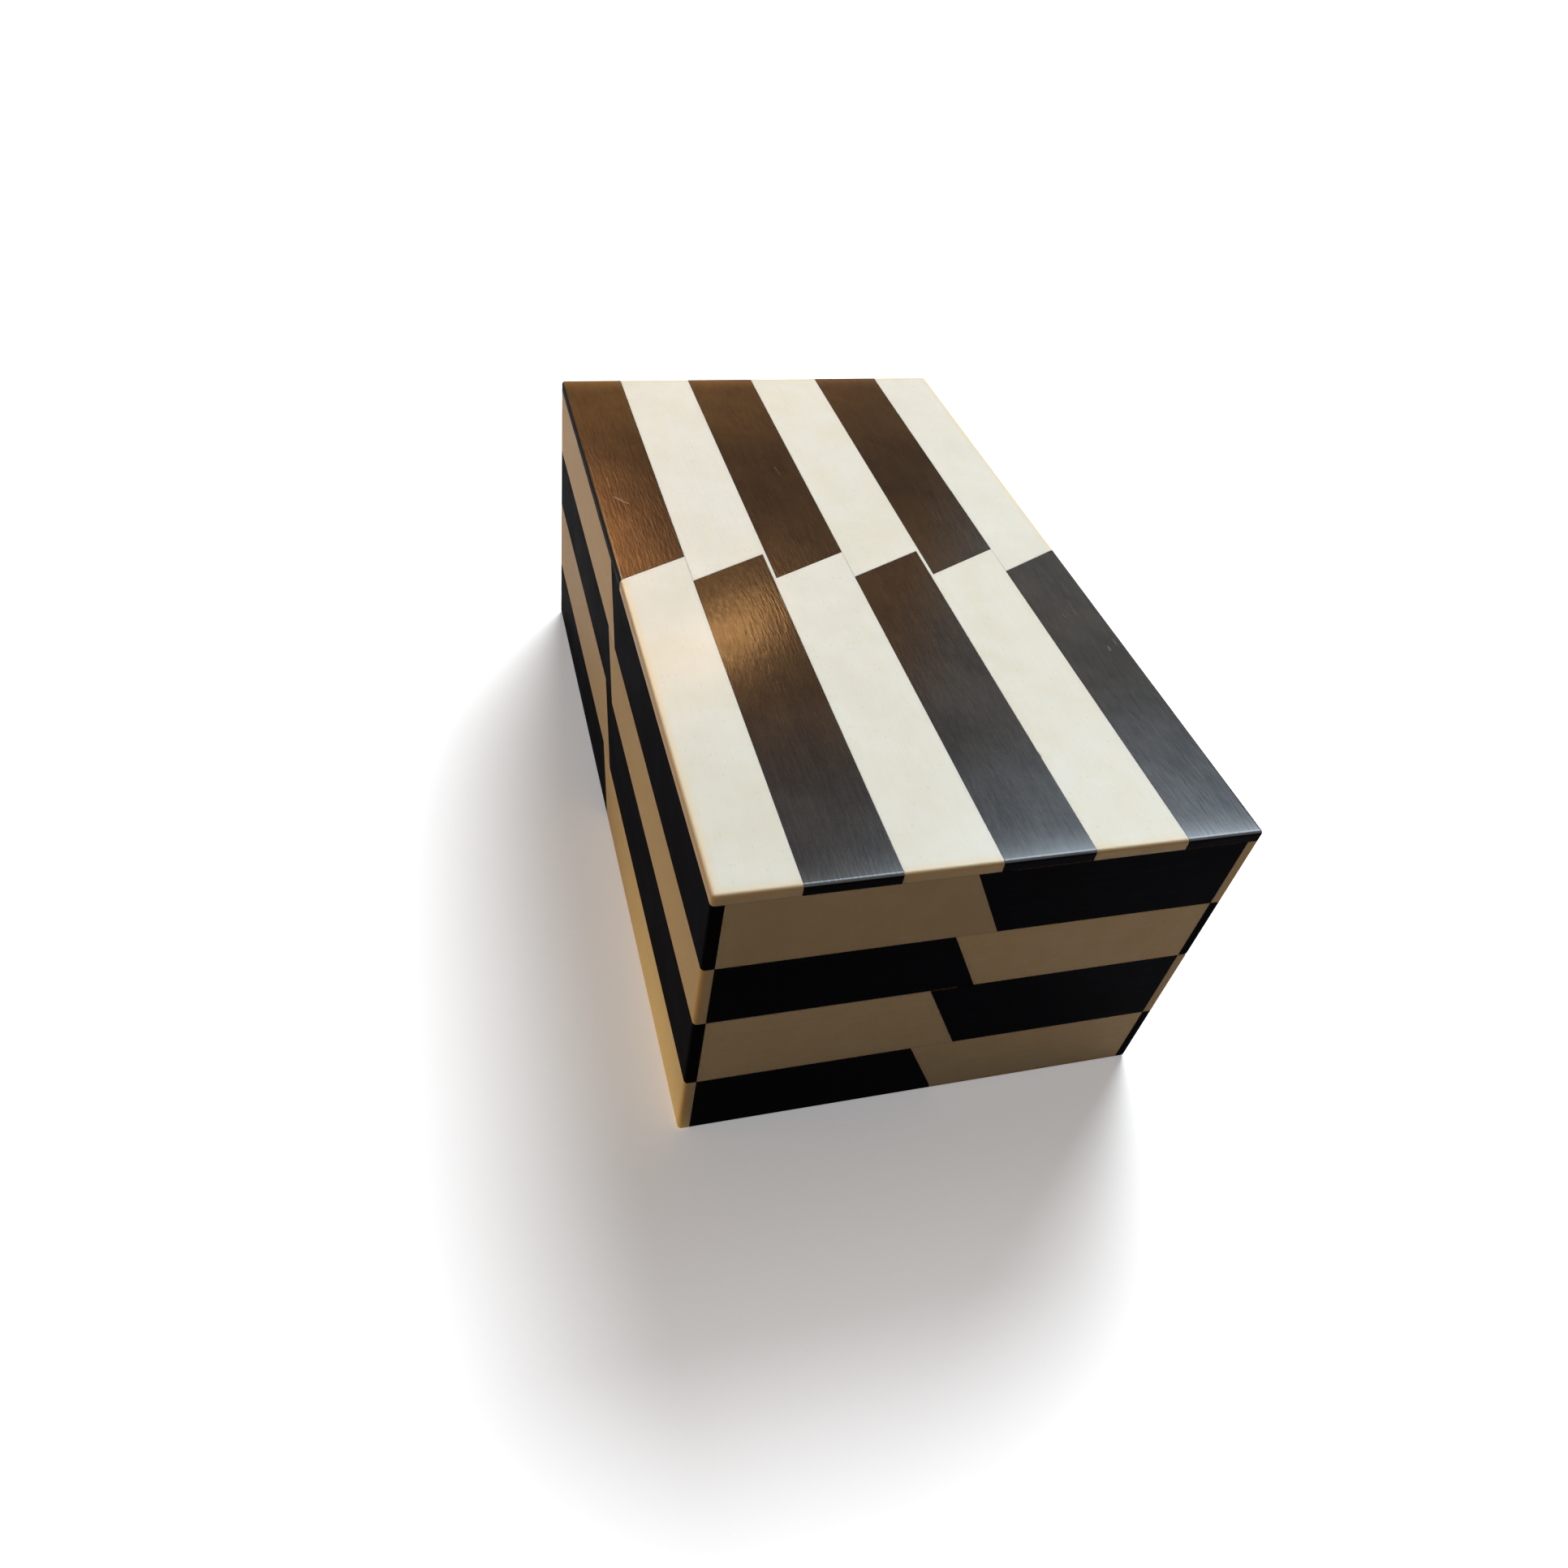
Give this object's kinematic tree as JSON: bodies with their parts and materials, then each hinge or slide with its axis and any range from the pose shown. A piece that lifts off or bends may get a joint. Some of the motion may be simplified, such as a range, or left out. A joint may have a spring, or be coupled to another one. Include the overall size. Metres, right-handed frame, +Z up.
{
  "type": "inlaid box",
  "caption": "Rectangular wooden box faced with staggered white and black strips; the upper half is a lid hinged at the back.",
  "frame": {"origin": "middle of the underside", "axes": "+X along the length, towards the end that the picture shows nearest; +Y from the front to the hinged back; +Z up"},
  "size_m": [0.224, 0.131, 0.094],
  "materials": {
    "white_bone": "polished bone, satin",
    "black_horn": "polished black horn, fine scratches along the strip",
    "case_wood": "oiled hardwood, satin",
    "hinge_brass": "brushed brass",
    "lining_felt": "dark red felt",
    "underside_felt": "black felt"
  },
  "bodies": {
    "base": {"back_row3_left_white": "white_bone", "back_row3_right_black": "black_horn", "back_row4_left_black": "black_horn", "back_row4_right_white": "white_bone", "base_back_wall": "case_wood", "base_end_walls": "case_wood", "base_floor_board": "case_wood", "base_front_wall": "case_wood", "base_hinge_leaves": "hinge_brass", "base_hinge_screws": "hinge_brass", "base_lining": "lining_felt", "front_row3_left_white": "white_bone", "front_row3_right_black": "black_horn", "front_row4_left_black": "black_horn", "front_row4_right_white": "white_bone", "hinge_pins": "hinge_brass", "left_row3_left_white": "white_bone", "left_row3_right_black": "black_horn", "left_row4_left_black": "black_horn", "left_row4_right_white": "white_bone", "right_row3_left_white": "white_bone", "right_row3_right_black": "black_horn", "right_row4_left_black": "black_horn", "right_row4_right_white": "white_bone", "underside_felt": "underside_felt"},
    "lid": {"back_row1_left_white": "white_bone", "back_row1_right_black": "black_horn", "back_row2_left_black": "black_horn", "back_row2_right_white": "white_bone", "front_row1_left_white": "white_bone", "front_row1_right_black": "black_horn", "front_row2_left_black": "black_horn", "front_row2_right_white": "white_bone", "left_row1_left_white": "white_bone", "left_row1_right_black": "black_horn", "left_row2_left_black": "black_horn", "left_row2_right_white": "white_bone", "lid_back_wall": "case_wood", "lid_end_walls": "case_wood", "lid_front_wall": "case_wood", "lid_hinge_leaves": "hinge_brass", "lid_hinge_screws": "hinge_brass", "lid_lining": "lining_felt", "lid_top_board": "case_wood", "right_row1_left_white": "white_bone", "right_row1_right_black": "black_horn", "right_row2_left_black": "black_horn", "right_row2_right_white": "white_bone", "top_left_1_black": "black_horn", "top_left_2_white": "white_bone", "top_left_3_black": "black_horn", "top_left_4_white": "white_bone", "top_left_5_black": "black_horn", "top_left_6_white": "white_bone", "top_right_1_white": "white_bone", "top_right_2_black": "black_horn", "top_right_3_white": "white_bone", "top_right_4_black": "black_horn", "top_right_5_white": "white_bone", "top_right_6_black": "black_horn"}
  },
  "joints": [
    {"name": "lid_hinge", "type": "hinge", "parent": "base", "child": "lid", "pos_m": [0, 0.0642, 0.0481], "axis": [-1, 0, 0], "range_deg": [0, 100]}
  ]
}
